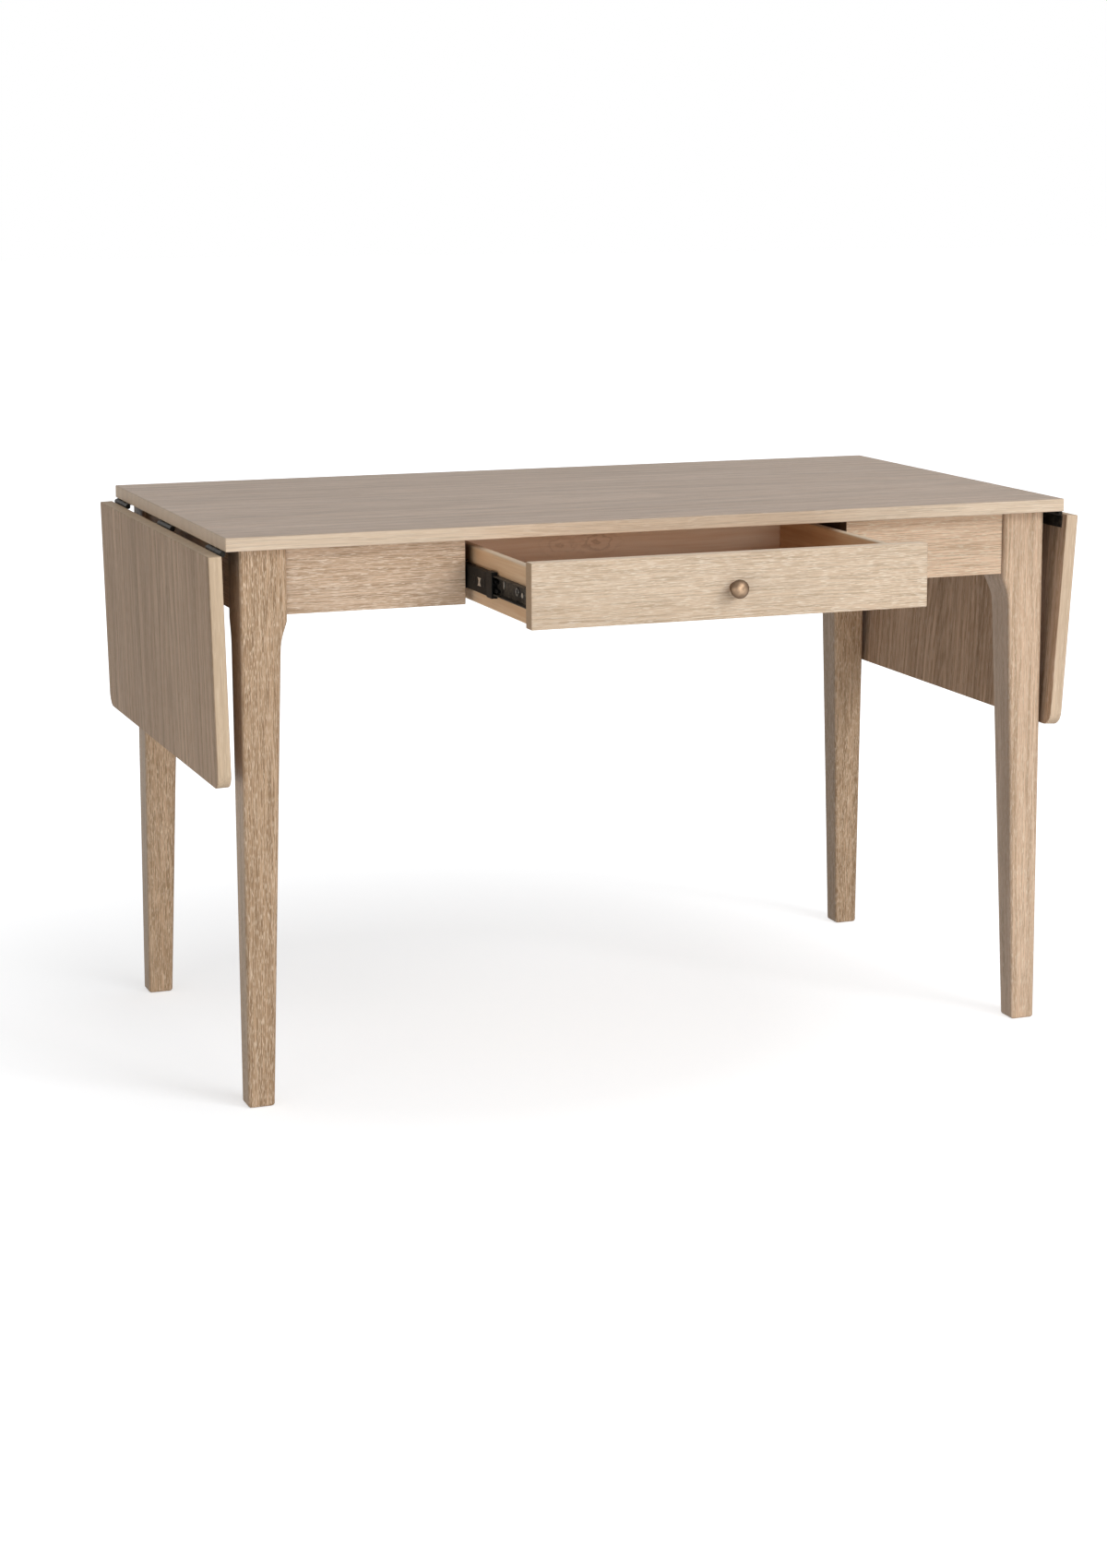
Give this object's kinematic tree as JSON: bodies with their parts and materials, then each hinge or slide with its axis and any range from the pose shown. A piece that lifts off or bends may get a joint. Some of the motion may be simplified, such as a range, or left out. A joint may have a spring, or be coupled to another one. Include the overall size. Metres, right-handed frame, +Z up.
{
  "type": "extendable desk",
  "caption": "Rectangular oak desk with tapered flared legs, a drop leaf hanging at each end on black hinges, and a wide centre drawer part open on black ball-bearing slides.",
  "frame": {"origin": "on the floor, in the middle of the box that the desk fills at rest, with the leaves hanging and the drawer part open", "axes": "+X to the right along the desk's length, +Y from the drawer's side to the back, +Z up"},
  "size_m": [1.2452, 0.896, 0.75],
  "materials": {
    "oak_top": "white-oiled oak, satin, grain along the length",
    "oak_leg": "white-oiled oak, satin, upright grain",
    "oak_apron": "white-oiled oak, satin, level grain",
    "pale_drawer_wood": "pale softwood, plain sanded",
    "hidden_hardwood": "plain planed hardwood",
    "black_steel": "satin black",
    "black_plastic": "moulded black",
    "zinc_steel": "plain zinc",
    "antique_bronze": "antique bronze, dull sheen"
  },
  "bodies": {
    "frame": {"table_top": "oak_top", "front_left_leg": "oak_leg", "front_right_leg": "oak_leg", "back_left_leg": "oak_leg", "back_right_leg": "oak_leg", "front_rail_left": "oak_apron", "front_rail_right": "oak_apron", "back_rail": "oak_apron", "end_rail_left": "oak_apron", "end_rail_right": "oak_apron", "drawer_rail_left": "hidden_hardwood", "drawer_rail_right": "hidden_hardwood", "front_left_brace": "hidden_hardwood", "front_right_brace": "hidden_hardwood", "back_left_brace": "hidden_hardwood", "back_right_brace": "hidden_hardwood", "leg_bolts": "zinc_steel", "top_screws": "zinc_steel", "left_slide_outer": "black_steel", "right_slide_outer": "black_steel", "slide_rail_screws": "zinc_steel", "left_leaf_front_hinge_top_plate": "black_steel", "left_leaf_middle_hinge_top_plate": "black_steel", "left_leaf_back_hinge_top_plate": "black_steel", "right_leaf_front_hinge_top_plate": "black_steel", "right_leaf_middle_hinge_top_plate": "black_steel", "right_leaf_back_hinge_top_plate": "black_steel", "hinge_pins": "black_steel", "top_hinge_screws": "black_steel", "support_guides": "hidden_hardwood"},
    "drawer": {"drawer_front": "oak_apron", "drawer_side_left": "pale_drawer_wood", "drawer_side_right": "pale_drawer_wood", "drawer_back": "pale_drawer_wood", "drawer_bottom": "pale_drawer_wood", "drawer_knob": "antique_bronze", "knob_screw": "zinc_steel", "left_slide_inner": "black_steel", "right_slide_inner": "black_steel", "slide_drawer_screws": "zinc_steel"},
    "left_slide_runner": {"left_slide_middle": "black_steel", "left_slide_bumper": "black_plastic"},
    "right_slide_runner": {"right_slide_middle": "black_steel", "right_slide_bumper": "black_plastic"},
    "outer_cages": {"outer_ball_cages": "zinc_steel"},
    "inner_cages": {"inner_ball_cages": "zinc_steel"},
    "left_leaf_body": {"left_leaf": "oak_top", "left_leaf_front_hinge_leaf_plate": "black_steel", "left_leaf_middle_hinge_leaf_plate": "black_steel", "left_leaf_back_hinge_leaf_plate": "black_steel", "left_leaf_hinge_screws": "black_steel"},
    "right_leaf_body": {"right_leaf": "oak_top", "right_leaf_front_hinge_leaf_plate": "black_steel", "right_leaf_middle_hinge_leaf_plate": "black_steel", "right_leaf_back_hinge_leaf_plate": "black_steel", "right_leaf_hinge_screws": "black_steel"},
    "front_left_support_body": {"front_left_support": "hidden_hardwood"},
    "back_left_support_body": {"back_left_support": "hidden_hardwood"},
    "front_right_support_body": {"front_right_support": "hidden_hardwood"},
    "back_right_support_body": {"back_right_support": "hidden_hardwood"}
  },
  "joints": [
    {"name": "drawer_slide", "type": "slide", "parent": "frame", "child": "drawer", "axis": [0, -1, 0], "range_m": [-0.246, 0.154]},
    {"name": "left_runner_slide", "type": "slide", "parent": "frame", "child": "left_slide_runner", "axis": [0, -1, 0], "range_m": [-0.123, 0.077]},
    {"name": "right_runner_slide", "type": "slide", "parent": "frame", "child": "right_slide_runner", "axis": [0, -1, 0], "range_m": [-0.123, 0.077]},
    {"name": "outer_cages_roll", "type": "slide", "parent": "frame", "child": "outer_cages", "axis": [0, -1, 0], "range_m": [-0.0615, 0.0385]},
    {"name": "inner_cages_roll", "type": "slide", "parent": "frame", "child": "inner_cages", "axis": [0, -1, 0], "range_m": [-0.1845, 0.1155]},
    {"name": "left_leaf_hinge", "type": "hinge", "parent": "frame", "child": "left_leaf_body", "pos_m": [-0.60075, 0.123, 0.728], "axis": [0, 1, 0], "range_deg": [-3.3, 91.5]},
    {"name": "right_leaf_hinge", "type": "hinge", "parent": "frame", "child": "right_leaf_body", "pos_m": [0.60075, 0.123, 0.728], "axis": [0, -1, 0], "range_deg": [-0.8, 94]},
    {"name": "front_left_support_slide", "type": "slide", "parent": "frame", "child": "front_left_support_body", "axis": [-1, 0, 0], "range_m": [0, 0.027]},
    {"name": "back_left_support_slide", "type": "slide", "parent": "frame", "child": "back_left_support_body", "axis": [-1, 0, 0], "range_m": [0, 0.027]},
    {"name": "front_right_support_slide", "type": "slide", "parent": "frame", "child": "front_right_support_body", "axis": [1, 0, 0], "range_m": [0, 0.027]},
    {"name": "back_right_support_slide", "type": "slide", "parent": "frame", "child": "back_right_support_body", "axis": [1, 0, 0], "range_m": [0, 0.027]}
  ],
  "couplings": [
    {"joint": "left_runner_slide", "follows": "drawer_slide", "ratio": 0.5},
    {"joint": "right_runner_slide", "follows": "drawer_slide", "ratio": 0.5},
    {"joint": "outer_cages_roll", "follows": "drawer_slide", "ratio": 0.25},
    {"joint": "inner_cages_roll", "follows": "drawer_slide", "ratio": 0.75}
  ]
}
